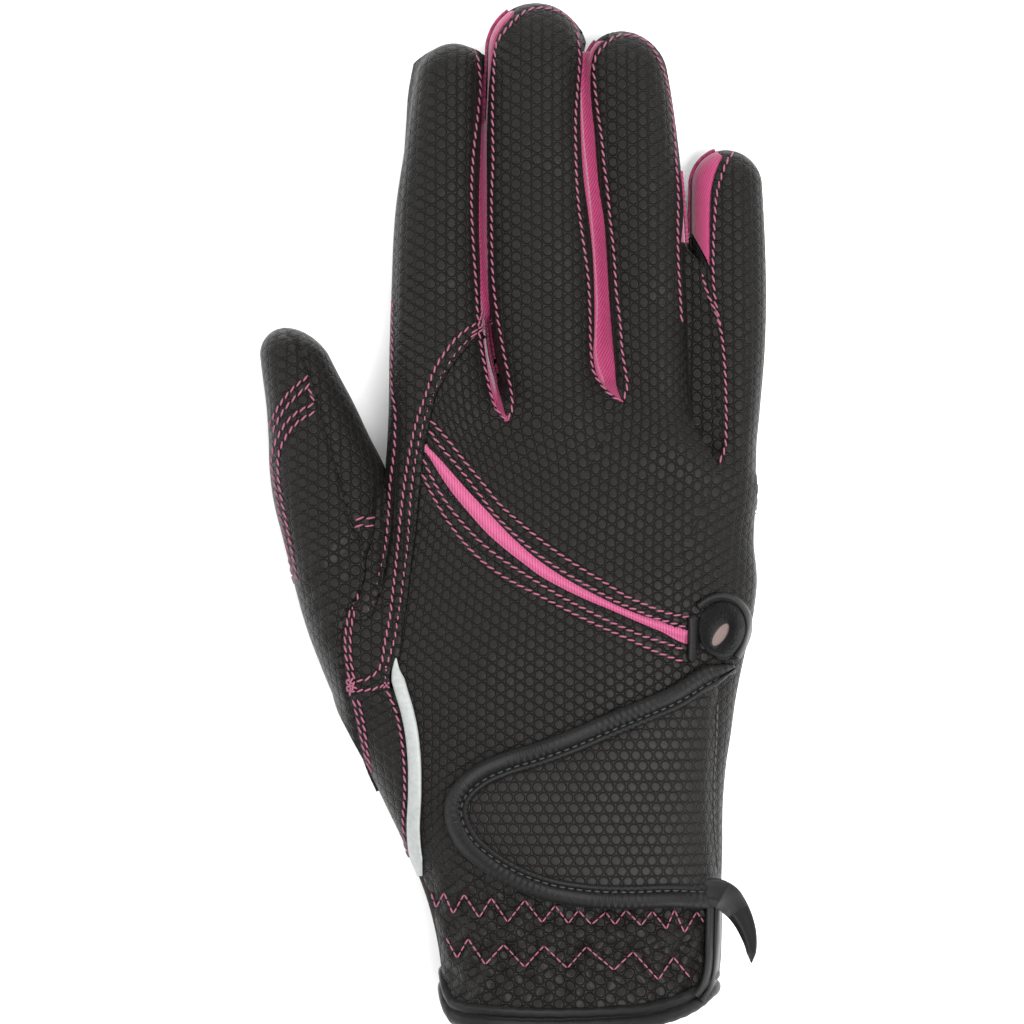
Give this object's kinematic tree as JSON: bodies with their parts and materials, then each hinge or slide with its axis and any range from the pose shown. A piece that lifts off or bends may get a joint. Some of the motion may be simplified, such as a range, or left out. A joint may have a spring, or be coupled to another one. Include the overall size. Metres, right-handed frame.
{
  "type": "riding glove",
  "caption": "Right-hand riding glove with an embossed back, stretch-knit finger sides and vent, a wrist strap and a bound, open cuff.",
  "frame": {"origin": "middle of the glove's length and width, at its underside", "axes": "+Z out of the back of the hand, +Y towards the fingertips, -X towards the thumb"},
  "size_m": [0.1136, 0.2296, 0.0349],
  "materials": {
    "embossed_leather": "embossed, matt",
    "strap_leather": "embossed, matt",
    "pink_knit": "ribbed stretch knit",
    "satin_binding": "satin",
    "brushed_loop": "brushed knit",
    "reflective_silver": "smooth, reflective"
  },
  "bodies": {
    "root": {"palm_panel": "embossed_leather", "knuckle_panel": "embossed_leather", "wrist_panel": "embossed_leather", "side_panel": "embossed_leather", "index_panel": "embossed_leather", "index_side_panel": "embossed_leather", "thumb_panel": "embossed_leather", "thumb_gusset": "embossed_leather", "little_gusset": "embossed_leather", "vent_insert": "pink_knit", "fourchette_index_middle": "pink_knit", "fourchette_middle_ring": "pink_knit", "little_knit": "pink_knit", "strap_field": "strap_leather", "strap_binding": "satin_binding", "slit_bar": "satin_binding", "cuff_binding": "satin_binding", "binding_tail": "satin_binding", "slit_loop": "brushed_loop", "reflective_piping": "reflective_silver"}
  },
  "joints": []
}
